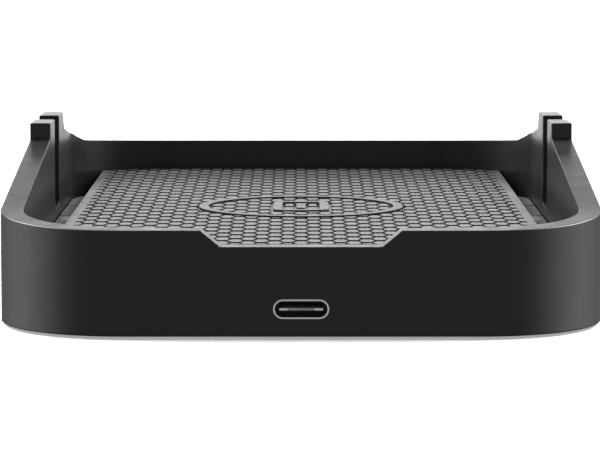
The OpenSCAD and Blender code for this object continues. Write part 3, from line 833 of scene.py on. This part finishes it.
def studio_world(scene, look):
    """Soft light behind, at both sides and high behind, dim light in front, none straight above.

    The curves run along a direction's place from front to back and from below to above.
    """
    world = bpy.data.worlds.new("studio")
    scene.world = world
    world.use_nodes = True
    tree = world.node_tree
    place = tree.nodes.new("ShaderNodeTexCoord")
    parts = tree.nodes.new("ShaderNodeSeparateXYZ")
    tree.links.new(place.outputs["Generated"], parts.inputs["Vector"])
    depth = calculate(tree, "MULTIPLY_ADD", parts.outputs["Y"], 0.5, 0.5)
    height = calculate(tree, "MULTIPLY_ADD", parts.outputs["Z"], 0.5, 0.5)
    sides = light_curve(tree, depth, (0, 0.26), (0.08, 0.2), (0.2, 0.24), (0.33, 0.75), (0.45, 1),
                        (0.65, 1), (0.78, 0.5), (0.92, 0.15))
    sides_up = light_curve(tree, height, (0.3, 0.1), (0.4, 1), (0.62, 1), (0.72, 0.1))
    across = calculate(tree, "ABSOLUTE", parts.outputs["X"], None)
    behind = calculate(tree, "MULTIPLY", light_curve(tree, across, (0.1, 1), (0.3, 0)),
                       light_curve(tree, depth, (0.5, 0), (0.6, 1)))
    behind_up = light_curve(tree, height, (0.42, 0), (0.46, 1), (0.63, 1), (0.68, 0.05))
    high = calculate(tree, "MULTIPLY", light_curve(tree, across, (0.3, 0), (0.45, 1)),
                     light_curve(tree, height, (0.7, 0), (0.76, 1), (0.9, 1), (0.95, 0)))
    high = calculate(tree, "MULTIPLY", high, light_curve(tree, depth, (0.42, 0), (0.54, 1)))
    aside = calculate(tree, "MULTIPLY", calculate(tree, "SUBTRACT", 1, behind), sides)
    total = calculate(tree, "MULTIPLY", calculate(tree, "MULTIPLY", aside, sides_up), look.sides)
    back = calculate(tree, "MULTIPLY", behind, behind_up)
    total = calculate(tree, "MULTIPLY_ADD", back, look.back, total)
    total = calculate(tree, "MULTIPLY_ADD", high, look.top, total)
    tree.links.new(total, tree.nodes["Background"].inputs["Strength"])
    tree.nodes["Background"].inputs["Color"].default_value = (1, 1, 1, 1)


class DOCK_OT_stage(bpy.types.Operator):
    """Set up the floor, the soft lights and the camera"""

    bl_idname = "dock.stage"
    bl_label = "Stage"

    def execute(self, context):
        look = context.scene.dock_stage
        scene = context.scene
        scene.view_settings.view_transform = "Standard"

        material, _, shader = node_tree("pale_floor")
        shader.inputs["Base Color"].default_value = (*look.floor, 1)
        shader.inputs["Roughness"].default_value = 0.9
        shader.inputs["Specular IOR Level"].default_value = 0.0
        shader.inputs["Emission Color"].default_value = (1, 1, 1, 1)
        shader.inputs["Emission Strength"].default_value = look.floor_glow
        bm = bmesh.new()
        bmesh.ops.create_grid(bm, x_segments=1, y_segments=1, size=30)
        mesh = bpy.data.meshes.new("floor")
        bm.to_mesh(mesh)
        bm.free()
        mesh.materials.append(material)
        floor = bpy.data.objects.new("floor", mesh)
        floor.visible_glossy = False
        floor.visible_diffuse = False
        scene.collection.objects.link(floor)

        studio_world(scene, look)

        lens = bpy.data.cameras.new("camera")
        lens.lens = look.lens
        lens.clip_start, lens.clip_end = 0.01, 100
        camera = bpy.data.objects.new("camera", lens)
        camera.location = (-look.side, FRONT_Y / MM - look.distance, look.height)
        camera.rotation_euler = (math.radians(90 - look.pitch), 0, 0)
        scene.collection.objects.link(camera)
        scene.camera = camera
        return {"FINISHED"}


class DOCK_PT_panel(bpy.types.Panel):
    """The dock's sizes, colours and operators"""

    bl_idname = "DOCK_PT_panel"
    bl_label = "Laptop docking station"
    bl_space_type = "VIEW_3D"
    bl_region_type = "UI"
    bl_category = "Dock"

    def draw(self, context):
        for group in (context.scene.dock_case, context.scene.dock_mat, context.scene.dock_stage):
            section = self.layout.box()
            for name in group.__annotations__:
                section.prop(group, name)
        for step in STEPS:
            self.layout.operator(step.bl_idname)


GROUPS = {"dock_case": DockCase, "dock_mat": DockMat, "dock_stage": DockStage}
STEPS = (
    DOCK_OT_stage, DOCK_OT_housing, DOCK_OT_deck, DOCK_OT_mat, DOCK_OT_base, DOCK_OT_ports, DOCK_OT_inside,
)


def register():
    """Registers the property groups, the operators and the panel."""
    for cls in (*GROUPS.values(), *STEPS, DOCK_PT_panel):
        bpy.utils.register_class(cls)
    for name, group in GROUPS.items():
        setattr(bpy.types.Scene, name, PointerProperty(type=group))


def unregister():
    """Removes what register added."""
    for name in GROUPS:
        delattr(bpy.types.Scene, name)
    for cls in (DOCK_PT_panel, *reversed(STEPS), *GROUPS.values()):
        bpy.utils.unregister_class(cls)


def main():
    """Builds every piece."""
    register()
    for step in STEPS:
        group, operator = step.bl_idname.split(".")
        getattr(getattr(bpy.ops, group), operator)()


if __name__ == "__main__":
    main()
